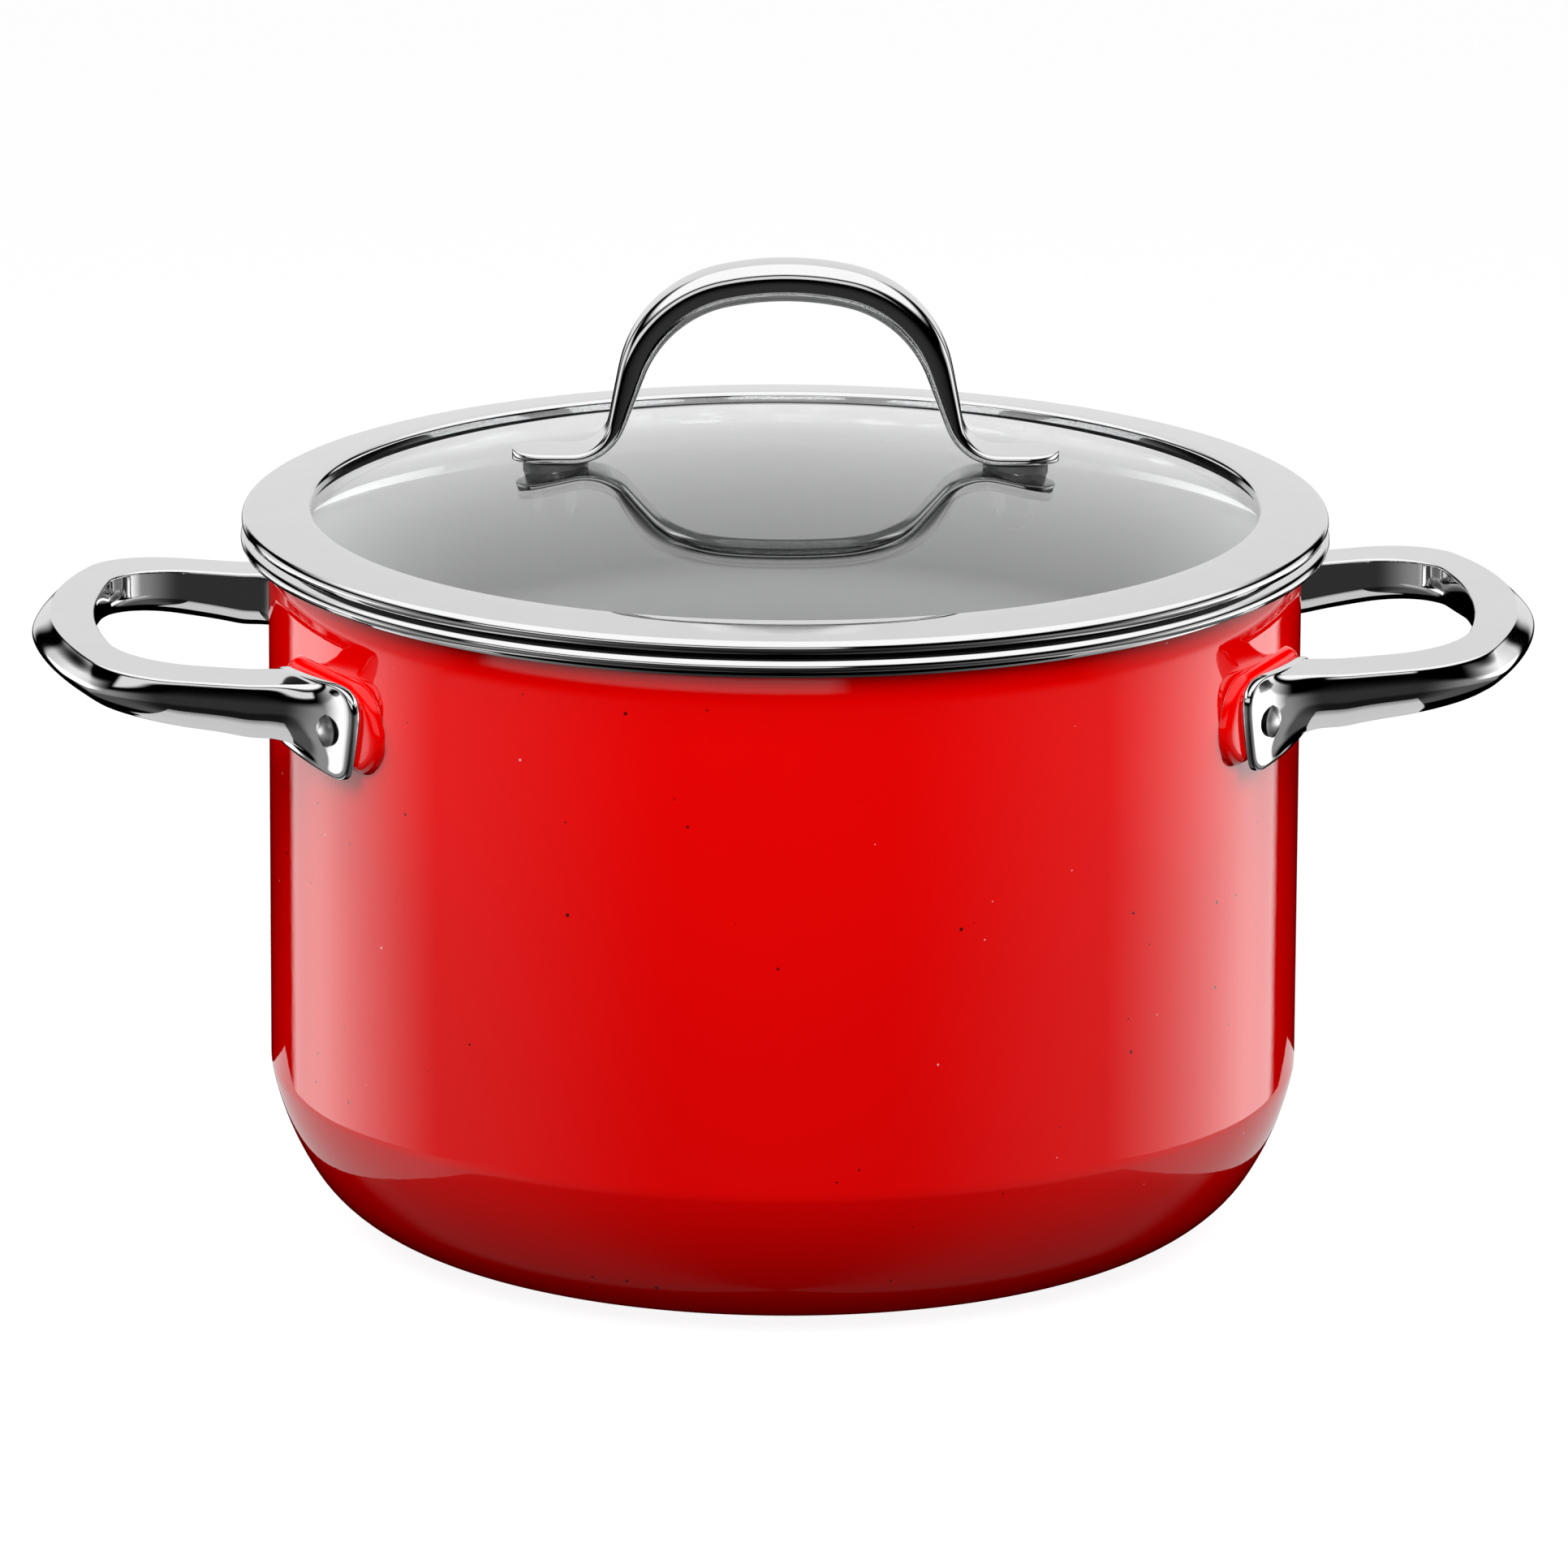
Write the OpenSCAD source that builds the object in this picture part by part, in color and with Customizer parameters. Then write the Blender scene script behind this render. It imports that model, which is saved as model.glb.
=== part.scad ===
// Enamelled steel stock pot with two riveted loop handles and a domed glass lid.
// Millimetres. The origin is the centre of the flat base, +X runs through the
// side handles and +Z is up. The lid lifts straight off along +Z.

/* [Pot] */
// Outer diameter of the straight wall
pot_d = 207; // [200:1:216]
// Height of the top of the stainless rim above the base
rim_top = 141.2; // [125:0.1:170]
// Thickness of the enamelled steel wall and base
wall_t = 2.2; // [1.6:0.1:3]
// Radius of the small arc between the flat base and the belly
corner_r = 26; // [20:1:30]
// Radius of the large arc between the corner arc and the straight wall
belly_r = 56; // [45:1:65]
// How far the rim flange stands out from the wall
rim_reach = 5.5; // [4:0.1:7]

/* [Side handles] */
// Distance from the pot's axis to the far side of a loop
loop_reach = 151.2; // [146:0.1:156]
// Height of the loop's top face where it meets its foot
loop_z = 122.5; // [115:0.1:126]
// Rise of the loop's top face per millimetre away from the pot
loop_tilt = 0.075; // [0:0.005:0.12]
// Height of the bar's outer side at the far end
bar_h = 10.3; // [8:0.1:12]
// Thickness of the foot plates
foot_t = 1.8; // [1.4:0.1:2.4]
// Thickness of the enamelled brackets below the feet
bracket_t = 2.5; // [2:0.1:3.5]
// Diameter of the rivet heads
rivet_d = 6.8; // [5:0.1:8]

/* [Lid] */
// Height of the glass dome above its edge
dome_h = 12.4; // [6:0.1:16]
// Thickness of the glass
glass_t = 4; // [3:0.1:5]
// Inner diameter of the stainless ring, which is the clear width of glass
ring_in_d = 190; // [186:1:191]
// Angle by which the lid is turned on the pot
lid_turn = -3; // [-180:1:180]
// Height of the bow handle above the crown of the glass
bow_h = 39.4; // [30:0.1:50]
// Distance between the two studs of the bow handle
stud_span = 92; // [88:1:94]

/* [Hidden] */

FINE = 240;
ROUND = 64;

// Pot wall and base. A slope is the angle between the wall and the vertical.
wall_r = pot_d / 2;
bore_r = wall_r - wall_t;
crease_slope = 10.5;
join_slope = 32.5;
wall_top = rim_top - 2.3;
flat_r = wall_r - belly_r * (cos(crease_slope) - cos(join_slope)) - corner_r * cos(join_slope);
belly_x = wall_r - belly_r * cos(crease_slope);
belly_z = corner_r + (belly_r - corner_r) * sin(join_slope);

// Stainless rim of the pot
rim_bead_r = 1.25;
rim_bead_x = wall_r + rim_reach - rim_bead_r;
rim_bead_z = rim_top - rim_bead_r;
rim_skin = 0.8;
rim_skirt_h = 7;

// Side handles. A plan curve is an end arc, a corner arc and a straight side.
bulge_w = 4;
crisp_end = loop_reach - 0.925 * bulge_w;
inner_end = crisp_end - 9;
outer_curve = [crisp_end, 95, 20, 50.4];
inner_curve = [inner_end, 100, 18, 38.2];
tilt_from = 103;
flare_u = 108;
flare_power = 3;
bracket_face = wall_r + bracket_t;
foot_back = bracket_face + 0.1;
foot_face = foot_back + foot_t;
// Corners of a foot plate, inner top first, and how far each kind of corner is cut back
foot_corners = [[34.4, -0.2], [67.6, 2], [63.4, -17.9], [34.4, -15.6]];
foot_round = [1.4, 8.5, 3.2];
bar_points = 28;
bar_tuck = 4.4;
top_fall = 0.4;
under_rise = 2.2;
root_gain = 3.6;
root_end = 132;
bend_steps = 14;
flare_steps = 9;

// Rivets and brackets. Bearings are measured round the pot from the handle's axis.
rivet_bearing = 30.6;
rivet_z = loop_z - 7.9;
rivet_seat = foot_face + 0.7;
rivet_dome = 1.1;
shank_r = 2;
bracket_bearing = 27;
bracket_corners = [[11, 10.5], [12, 8], [-11.5, 8], [-11.5, 10.5]];
bracket_round = 8;
bracket_low = rivet_z - 8.3;

// Lid ring and glass
lid_gap = 0.3;
bead_r = 1.45;
ring_r = wall_r + rim_reach - 0.2;
bead_x = ring_r - bead_r;
bead_z = rim_top + 1 + bead_r;
ring_in_r = ring_in_d / 2;
lip_r = 0.9;
lip_top = bead_z + bead_r + 1.2;
ring_slope = (lip_top - bead_z - bead_r) / (bead_x - ring_in_r - lip_r);
sheet_t = 1.2;
seat_w = 3.4;
skirt_r = bore_r - rim_skin - 0.7;
skirt_t = 0.8;
skirt_h = 6;
glass_r = skirt_r - skirt_t - 0.7;
dome_top = lip_top - 2.1 + dome_h;
dome_r = (ring_in_r * ring_in_r + dome_h * dome_h) / (2 * dome_h);
dome_c = dome_top - dome_r;

// Bow handle and its fastenings
stud_x = stud_span / 2;
tab_t = 2.2;
tab_w = 13;
tab_bottom = dome_top - 1.5;
tab_mid = tab_bottom + tab_t / 2;
crown_t = 8;
crown_w = 11.5;
crown_z = dome_top + bow_h - crown_t / 2;
crown_r = 58.9;
crown_half = 12.2;
shoulder_r = 24.3;
leg_slope = 74.3;
ankle_r = 9.25;
tab_tip = stud_x + 8.8;
bow_points = 24;
stud_r = 2.5;
pad_r = 6.5;
bush_bottom = dome_z(dome_r - glass_t, stud_x + pad_r) - 0.8;
washer_t = 1;
nut_h = 4;

// ---- helpers ----

// Height of a sphere of radius r round the dome's centre, at the distance x from the axis.
function dome_z(r, x) = dome_c + sqrt(r * r - x * x);

function arc(c, r, a0, a1, n) =
    [for (i = [0:n]) let (a = a0 + (a1 - a0) * i / n) c + r * [cos(a), sin(a)]];

function mix(a, b, t) = a + (b - a) * t;

// Angle in degrees of a distance round the pot, at the feet.
function degrees(s) = s / foot_face * 180 / PI;

// Skins a list of closed rings that all have the same number of points.
module skin(rings) {
    n = len(rings[0]);
    last = len(rings) - 1;
    sides = [for (k = [0:last - 1], i = [0:n - 1])
        let (a = k * n + i, b = k * n + (i + 1) % n)
        each [[a, b, b + n], [a, b + n, a + n]]];
    caps = [[for (i = [n - 1:-1:0]) i], [for (i = [0:n - 1]) last * n + i]];
    points = [for (ring = rings) each ring];
    polyhedron(points, concat(sides, caps), convexity = 8);
}

// Moves a child from the +X axis to a bearing on the pot's side wall.
module on_wall(bearing) {
    rotate([0, 0, bearing]) children();
}

// ---- pot ----

// Outline of the pot's outside, or of its inside for an inset of wall_t.
function pot_outline(inset) = concat(
    [[0, inset]],
    arc([flat_r, corner_r], corner_r - inset, -90, -join_slope, 16),
    arc([belly_x, belly_z], belly_r - inset, -join_slope, -crease_slope, 12),
    [[wall_r - inset, wall_top + (inset > 0 ? 1 : 0)], [0, wall_top + (inset > 0 ? 1 : 0)]]);

module pot_body() {
    color([0.85, 0.02, 0.03])
    rotate_extrude($fn = FINE)
    difference() {
        polygon(pot_outline(0));
        polygon(pot_outline(wall_t));
    }
}

module pot_rim() {
    color([0.82, 0.82, 0.84])
    rotate_extrude($fn = FINE)
    union() {
        translate([rim_bead_x, rim_bead_z]) circle(rim_bead_r, $fn = ROUND);
        polygon([
            [bore_r - rim_skin, rim_top - rim_skirt_h],
            [bore_r, rim_top - rim_skirt_h],
            [bore_r, wall_top],
            [wall_r, wall_top],
            [wall_r, wall_top - 2],
            [wall_r + 0.5, wall_top - 2],
            [wall_r + 1.2, wall_top - 0.9],
            [rim_bead_x, rim_bead_z - rim_bead_r],
            [rim_bead_x, rim_top],
            [bore_r + 0.4, rim_top],
            [bore_r - rim_skin, rim_top - 1]]);
    }
}

// ---- side handles ----

// Point of a plan curve where its normal makes the angle a with +X.
function curve_point(c, a) = let (
    end = c[0], big = c[1], small = c[2], half = c[3],
    big_x = end - big,
    turn = asin((half - small) / (big - small)),
    hub = [big_x + (big - small) * cos(turn), half - small])
    a <= turn ? [big_x + big * cos(a), big * sin(a)]
    : hub + small * [cos(a), sin(a)];

// Cross-section of the bar: x from the inner face outwards, y up from the top face.
// It runs along the top face, round the outside and the bottom and up the inner face.
function bar_section(w, bulge, h) = concat(
    [for (i = [0:5]) [mix(0.35, w - 0.25, i / 5), -top_fall * i / 5]],
    [for (i = [0:9]) let (s = i / 9)
        [w + bulge * sin(150 * s) - bar_tuck * pow(s, 4), mix(-0.4 - top_fall, 0.8 - h, s)]],
    [for (i = [0:5]) [mix(w - bar_tuck - 0.5, 1.9, i / 5), under_rise * i / 5 - h + 0.15 * abs(i - 2.5)]],
    [for (i = [0:5]) [i == 0 ? 0.5 : 0, mix(under_rise - h + 1.1, -0.35, i / 5)]]);

// Height of the bar's outer side, which grows towards the foot.
function bar_depth(u) = bar_h + root_gain * pow(max(0, root_end - u) / 32, 1.7);

// Point at the distance s from p on the way to q.
function near(p, q, s) = p + s * (q - p) / norm(q - p);

// Curve of n points round the corner b, from s before it to s after it.
function round_off(a, b, c, s, n) = let (p = near(b, a, s), q = near(b, c, s))
    [for (i = [0:n - 1]) let (t = i / (n - 1)) mix(mix(p, b, t), mix(b, q, t), t)];

// Outline of a foot plate: distance round the pot from the handle's axis, height from loop_z.
foot_outline = let (a = foot_corners[0], b = foot_corners[1], c = foot_corners[2], d = foot_corners[3])
    concat(
    [for (i = [1:6]) mix(near(a, b, foot_round[0]), near(b, a, foot_round[1]), i / 7)],
    round_off(a, b, c, foot_round[1], 6),
    round_off(b, c, d, foot_round[2], 4),
    [for (i = [1:6]) mix(near(c, d, foot_round[2]), near(d, c, foot_round[0]), i / 7)],
    round_off(c, d, a, foot_round[0], 3),
    round_off(d, a, b, foot_round[0], 3));

function foot_ring(r, side, size = 1) = [for (p = foot_outline)
    let (b = mix(bracket_bearing, degrees(p[0]), size), z = mix(rivet_z - loop_z, p[1], size))
    [r * cos(b), side * r * sin(b), loop_z + z]];

// Ring of the bar between an inner and an outer plan point.
function bar_ring(inner, outer, bulge, h) = let (
    w = norm(outer - inner),
    across = (outer - inner) / w)
    [for (s = bar_section(w, bulge, h)) let (p = inner + across * s[0])
        [p[0], p[1], loop_z + loop_tilt * (p[0] - tilt_from) + s[1]]];

// Ring of the straight side at the distance u from the pot's axis.
function side_ring(u, side) =
    bar_ring([u, side * inner_curve[3]], [u, side * outer_curve[3]], 0.4, bar_depth(u));

// Rings of the bend, from the normal angle a0 to a1.
function bend_rings(side, a0, a1) = [for (i = [0:bend_steps])
    let (a = mix(a0, a1, i / bend_steps),
        p = curve_point(inner_curve, a), q = curve_point(outer_curve, a))
    bar_ring([p[0], side * p[1]], [q[0], side * q[1]], mix(bulge_w, 0.4, sin(a)), bar_depth(p[0]))];

// Rings of the trumpet-shaped flare. It leaves the straight side and settles on the
// round face of the foot plate, so the plate stays even round the rivet.
function flare_rings(side) = let (
    bar = side_ring(flare_u, side), foot = foot_ring(foot_face, side), q = 2 / flare_power)
    [for (k = [0:flare_steps])
        let (a = 90 * (1 - k / flare_steps), down = pow(sin(a), q), out = 1 - pow(cos(a), q))
        [for (i = [0:bar_points - 1])
            let (y = mix(bar[i][1], foot[i][1], out))
            [mix(bar[i][0], sqrt(foot_face * foot_face - y * y), down),
            y,
            mix(bar[i][2], foot[i][2], out)]]];

function half_rings(side) = concat(
    [foot_ring(foot_back, side, 0.3), foot_ring(foot_back, side, 0.7), foot_ring(foot_back, side)],
    flare_rings(side),
    [side_ring(flare_u + 3, side), side_ring(flare_u + 6, side)],
    bend_rings(side, 90, 0));

module loop_handle() {
    front = half_rings(-1);
    back = half_rings(1);
    last = len(back) - 1;
    color([0.8, 0.8, 0.82])
    difference() {
        skin(concat(front, [for (k = [last - 1:-1:0]) back[k]]));
        for (side = [-1, 1]) {
            rivet_bore(side, rivet_seat + 6);
            on_wall(side * rivet_bearing)
            translate([rivet_seat, 0, rivet_z])
            rotate([0, 90, 0])
            cylinder(r = rivet_d / 2 + 0.05, h = 6, $fn = ROUND);
        }
    }
}

module handle_right() {
    loop_handle();
}

module handle_left() {
    rotate([0, 0, 180]) loop_handle();
}

// Hole for a rivet shank through a foot and its bracket.
module rivet_bore(side, reach) {
    on_wall(side * rivet_bearing)
    translate([wall_r - 1, 0, rivet_z])
    rotate([0, 90, 0])
    cylinder(r = shank_r, h = reach - wall_r + 1, $fn = ROUND);
}

module bracket(bearing) {
    side = bearing > 0 ? 1 : -1;
    color([0.85, 0.02, 0.03])
    difference() {
        intersection() {
            difference() {
                translate([0, 0, bracket_low - 2]) cylinder(r = bracket_face, h = 30, $fn = FINE);
                translate([0, 0, bracket_low - 3]) cylinder(r = wall_r, h = 32, $fn = FINE);
            }
            on_wall(bearing)
            translate([wall_r - 10, 0, bracket_low])
            rotate([90, 0, 90])
            linear_extrude(20)
            scale([side, 1])
            hull() {
                for (p = bracket_corners) translate(p) circle(bracket_round, $fn = 48);
            }
        }
        rivet_bore(side, foot_face);
    }
}

module rivet(bearing) {
    head_r = rivet_d / 2;
    ball_r = (head_r * head_r + rivet_dome * rivet_dome) / (2 * rivet_dome);
    color([0.7, 0.7, 0.72])
    on_wall(bearing)
    translate([0, 0, rivet_z])
    rotate([0, 90, 0])
    union() {
        translate([0, 0, wall_r + 0.1]) cylinder(r = shank_r, h = rivet_seat - wall_r, $fn = ROUND);
        intersection() {
            translate([0, 0, rivet_seat + rivet_dome - ball_r]) sphere(ball_r, $fn = ROUND);
            translate([0, 0, rivet_seat]) cylinder(r = head_r, h = rivet_dome + 1, $fn = ROUND);
        }
    }
}

// ---- lid ----

// Section of the glass dome, cut off at the radius r.
module dome_section(r) {
    translate([0, dome_c])
    intersection() {
        difference() {
            circle(dome_r, $fn = FINE * 4);
            circle(dome_r - glass_t, $fn = FINE * 4);
        }
        translate([0, dome_r / 2]) square([r, dome_r]);
    }
}

module lid_glass() {
    color([0.6, 0.63, 0.65, 0.6])
    difference() {
        rotate_extrude($fn = FINE) dome_section(glass_r);
        for (side = [-1, 1])
            translate([side * stud_x, 0, dome_top - 20]) cylinder(r = stud_r + 1, h = 30, $fn = ROUND);
    }
}

// Height of the underside of the ring's sheet at the radius r.
function sheet_low(r) = lip_top - sheet_t - ring_slope * (r - ring_in_r - lip_r);

module lid_ring() {
    seat_z = rim_top + lid_gap;
    color([0.85, 0.85, 0.87])
    rotate_extrude($fn = FINE)
    union() {
        translate([bead_x, bead_z]) circle(bead_r, $fn = ROUND);
        translate([ring_in_r + lip_r, lip_top - lip_r]) circle(lip_r, $fn = ROUND);
        polygon([
            [ring_in_r, lip_top - lip_r],
            [ring_in_r, lip_top - 2],
            [ring_in_r + 1.2, lip_top - 2.2],
            [ring_in_r + 1.5, sheet_low(ring_in_r + 1.5)],
            [bead_x - 2, sheet_low(bead_x - 2)],
            [bead_x, bead_z - bead_r],
            [bead_x, bead_z + bead_r],
            [ring_in_r + lip_r, lip_top]]);
        translate([skirt_r - skirt_t, seat_z]) square([skirt_t + seat_w, 1]);
        translate([skirt_r + seat_w - 1, seat_z]) square([1, sheet_low(skirt_r) - seat_z]);
        translate([skirt_r - skirt_t, seat_z - skirt_h]) square([skirt_t, skirt_h + 0.5]);
    }
}

module lid_seal() {
    seat_z = rim_top + lid_gap;
    seal_in = ring_in_r + 2 * lip_r + 0.05;
    color([0.12, 0.12, 0.13])
    rotate_extrude($fn = FINE)
    difference() {
        polygon([
            [glass_r - 2, seat_z - 4.4],
            [skirt_r - skirt_t, seat_z - 4.4],
            [skirt_r - skirt_t, seat_z + 1],
            [skirt_r + seat_w - 1, seat_z + 1],
            [skirt_r + seat_w - 1, sheet_low(skirt_r + seat_w - 1)],
            [seal_in, sheet_low(seal_in)]]);
        dome_section(glass_r);
    }
}

// Path of the bow handle's right half: position, heading and a place from 0 to 1.
function bow_shoulder() = [crown_r * sin(crown_half), crown_z - crown_r * (1 - cos(crown_half))];

function bow_leg_start() = bow_shoulder()
    + shoulder_r * [sin(leg_slope) - sin(crown_half), cos(leg_slope) - cos(crown_half)];

function bow_ankle() = let (start = bow_leg_start(),
    drop = start[1] - tab_mid - ankle_r * (1 - cos(leg_slope)))
    start + drop * [1 / tan(leg_slope), -1];

function bow_path() = let (
    shoulder = bow_shoulder(), leg = bow_leg_start(), ankle = bow_ankle(),
    tab_x = ankle[0] + ankle_r * sin(leg_slope),
    tip_c = tab_tip - tab_w / 2)
    concat(
    [for (i = [0:6]) let (a = crown_half * i / 6)
        [crown_r * sin(a), crown_z - crown_r * (1 - cos(a)), a]],
    [for (i = [1:7]) let (a = mix(crown_half, leg_slope, i / 7))
        [shoulder[0] + shoulder_r * (sin(a) - sin(crown_half)),
        shoulder[1] + shoulder_r * (cos(a) - cos(crown_half)), a]],
    [for (i = [1:5]) let (p = mix(leg, ankle, i / 5)) [p[0], p[1], leg_slope]],
    [for (i = [1:7]) let (a = leg_slope * (1 - i / 7))
        [ankle[0] + ankle_r * (sin(leg_slope) - sin(a)),
        ankle[1] - ankle_r * (cos(a) - cos(leg_slope)), a]],
    [[mix(tab_x, tip_c, 0.5), tab_mid, 0], [tip_c, tab_mid, 0]],
    [for (i = [1:6]) [tip_c + tab_w / 2 * sin(86 * i / 6), tab_mid, 0]]);

// Closed rounded section, w wide and t thick; a higher power gives squarer corners.
function bow_section(w, t, power) = [for (i = [0:bow_points - 1])
    let (a = 360 * i / bow_points, c = cos(a), s = sin(a))
    [w / 2 * sign(c) * pow(abs(c), 2 / power), t / 2 * sign(s) * pow(abs(s), 2 / power)]];

// One ring of the bow at a path point p, on the right side (1) or the left side (-1).
function bow_ring(p, side) = let (
    f = min(1, max(0, (crown_z - p[1]) / (crown_z - tab_mid))),
    reach = max(0, p[0] - tab_tip + tab_w / 2),
    w = mix(crown_w, tab_w, f * f) * sqrt(max(0, 1 - pow(2 * reach / tab_w, 2))),
    t = mix(crown_t, tab_t, pow(f, 1.29)),
    power = mix(3.2, 5, f))
    [for (s = bow_section(w, t, power))
        [side * (p[0] + s[1] * sin(p[2])), side * s[0], p[1] + s[1] * cos(p[2])]];

module lid_handle() {
    path = bow_path();
    last = len(path) - 1;
    color([0.8, 0.8, 0.82])
    skin(concat(
        [for (k = [last:-1:1]) bow_ring(path[k], 1)],
        [for (k = [0:last]) let (ring = bow_ring(path[k], -1))
            [for (i = [0:bow_points - 1])
                ring[(bow_points + bow_points / 2 - i) % bow_points]]]));
}

// Everything below a slanted line over a stud, turned round the axis of the lid.
module below_slant(z_in, z_out) {
    rotate_extrude($fn = FINE)
    polygon([
        [stud_x - pad_r - 2, dome_top - 20],
        [stud_x + pad_r + 2, dome_top - 20],
        [stud_x + pad_r + 2, z_out],
        [stud_x - pad_r - 2, z_in]]);
}

// Disc below a tab. Its slanted underside touches the top of the glass.
module lid_spacer(side) {
    touch = dome_z(dome_r, stud_x);
    fall = stud_x / sqrt(dome_r * dome_r - stud_x * stud_x) * (pad_r + 2);
    color([0.25, 0.25, 0.27])
    difference() {
        translate([side * stud_x, 0, tab_bottom - 4]) cylinder(r = pad_r, h = 4, $fn = ROUND);
        translate([side * stud_x, 0, tab_bottom - 5]) cylinder(r = stud_r, h = 6, $fn = ROUND);
        below_slant(touch + fall, touch - fall);
    }
}

module lid_stud(side) {
    low = bush_bottom - washer_t - nut_h;
    color([0.72, 0.72, 0.74])
    translate([side * stud_x, 0, low]) cylinder(r = stud_r, h = tab_bottom - low, $fn = ROUND);
}

// Soft bush with a collar in the hole of the glass.
module lid_bush(side) {
    collar_top = tab_bottom - 2.3;
    color([0.15, 0.15, 0.16])
    difference() {
        union() {
            translate([side * stud_x, 0, bush_bottom])
                cylinder(r = stud_r + 0.9, h = collar_top - bush_bottom, $fn = ROUND);
            intersection() {
                translate([side * stud_x, 0, bush_bottom]) cylinder(r = pad_r, h = 6, $fn = ROUND);
                below_slant(
                    dome_z(dome_r - glass_t, stud_x - pad_r - 2),
                    dome_z(dome_r - glass_t, stud_x + pad_r + 2));
            }
        }
        translate([side * stud_x, 0, bush_bottom - 1]) cylinder(r = stud_r, h = 20, $fn = ROUND);
    }
}

module lid_washer(side) {
    color([0.75, 0.75, 0.77])
    translate([side * stud_x, 0, bush_bottom - washer_t])
    difference() {
        cylinder(r = pad_r - 0.5, h = washer_t, $fn = ROUND);
        translate([0, 0, -1]) cylinder(r = stud_r, h = washer_t + 2, $fn = ROUND);
    }
}

module lid_nut(side) {
    color([0.75, 0.75, 0.77])
    translate([side * stud_x, 0, bush_bottom - washer_t - nut_h])
    difference() {
        union() {
            cylinder(r = 4.6, h = nut_h, $fn = 6);
            intersection() {
                sphere(3.9, $fn = ROUND);
                translate([-5, -5, -5]) cube([10, 10, 6]);
            }
        }
        cylinder(r = stud_r, h = nut_h + 1, $fn = ROUND);
    }
}

// Turns a part of the lid with the lid.
module on_lid() {
    rotate([0, 0, lid_turn]) children();
}

pot_body();
pot_rim();
bracket(-bracket_bearing);  // bracket_right_front
bracket(bracket_bearing);  // bracket_right_back
rotate([0, 0, 180]) bracket(bracket_bearing);  // bracket_left_front
rotate([0, 0, 180]) bracket(-bracket_bearing);  // bracket_left_back
handle_right();
handle_left();
rivet(-rivet_bearing);  // rivet_right_front
rivet(rivet_bearing);  // rivet_right_back
rotate([0, 0, 180]) rivet(rivet_bearing);  // rivet_left_front
rotate([0, 0, 180]) rivet(-rivet_bearing);  // rivet_left_back
on_lid() lid_glass();
on_lid() lid_ring();
on_lid() lid_seal();
on_lid() lid_handle();
on_lid() lid_spacer(1);  // lid_spacer_right
on_lid() lid_spacer(-1);  // lid_spacer_left
on_lid() lid_stud(1);  // lid_stud_right
on_lid() lid_stud(-1);  // lid_stud_left
on_lid() lid_bush(1);  // lid_bush_right
on_lid() lid_bush(-1);  // lid_bush_left
on_lid() lid_washer(1);  // lid_washer_right
on_lid() lid_washer(-1);  // lid_washer_left
on_lid() lid_nut(1);  // lid_nut_right
on_lid() lid_nut(-1);  // lid_nut_left
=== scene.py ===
# %% [markdown]
# # An enamelled pot with a glass lid
# The imported CAD model is the frame: it says how large every part is and where it goes. The pieces below
# are modelled new with finer surfaces, because polished steel and glossy enamel show every facet, and each
# one takes the place of a CAD node, which is hidden. Lengths are in metres.

# %% Load the frame
import math

import bpy
from mathutils import Matrix, Vector


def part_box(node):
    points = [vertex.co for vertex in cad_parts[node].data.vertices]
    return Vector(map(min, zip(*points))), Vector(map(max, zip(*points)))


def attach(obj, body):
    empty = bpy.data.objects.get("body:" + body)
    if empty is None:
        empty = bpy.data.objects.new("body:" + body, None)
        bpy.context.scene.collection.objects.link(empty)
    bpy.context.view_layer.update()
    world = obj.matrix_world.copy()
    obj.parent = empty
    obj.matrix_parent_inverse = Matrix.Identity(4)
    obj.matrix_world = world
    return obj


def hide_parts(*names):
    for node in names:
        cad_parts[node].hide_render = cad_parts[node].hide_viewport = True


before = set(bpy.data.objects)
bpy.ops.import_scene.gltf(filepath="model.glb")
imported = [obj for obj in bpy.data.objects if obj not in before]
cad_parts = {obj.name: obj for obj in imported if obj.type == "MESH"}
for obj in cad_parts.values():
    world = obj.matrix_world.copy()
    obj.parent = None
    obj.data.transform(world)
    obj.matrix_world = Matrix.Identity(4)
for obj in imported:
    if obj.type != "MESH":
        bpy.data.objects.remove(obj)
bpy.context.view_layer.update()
MM = 0.001
deg = math.radians

# %% [markdown]
# ## The camera
# It stands far back with a long lens, about 14 degrees above the rim and a
# little to the left, so the ellipses of the rim are even and the left handle
# is slightly nearer.

# %% Place the camera
rim_z = 0.1442
camera_far = 2.6
camera_up = deg(13.84)
camera_left = deg(3.24)
camera_dip = deg(15.04)
camera_roll = deg(0.26)

turn = Matrix.Rotation(-camera_left, 3, "Z")
eye = turn @ Vector((0, -camera_far * math.cos(camera_up), camera_far * math.sin(camera_up)))
eye.z += rim_z
ahead = turn @ Vector((0, math.cos(camera_dip), -math.sin(camera_dip)))
level = turn @ Vector((1, 0, 0))
above = level.cross(ahead)
right = math.cos(camera_roll) * level + math.sin(camera_roll) * above
top = right.cross(ahead)

camera_data = bpy.data.cameras.new("camera")
camera_data.sensor_width = 36
camera_data.lens = 298
camera_data.clip_end = 50
camera = bpy.data.objects.new("camera", camera_data)
bpy.context.scene.collection.objects.link(camera)
camera.matrix_world = Matrix((
    (right.x, top.x, -ahead.x, eye.x),
    (right.y, top.y, -ahead.y, eye.y),
    (right.z, top.z, -ahead.z, eye.z),
    (0, 0, 0, 1)))
bpy.context.scene.camera = camera
print("camera at", [round(c, 3) for c in eye])

# %% [markdown]
# ## Light
# A product studio: a white ceiling, long strip lights at both sides, a white
# backdrop behind, a flat box in front on the left, and a table that grows
# brighter to the sides. Polished steel shows all of it, so it is painted on the
# world as a function of direction alone. It is made for mirror rays. Rays that
# leave a matt surface meet an even gradient, and the camera sees plain white.
# Soft boxes give the even light on the enamel.

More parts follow.
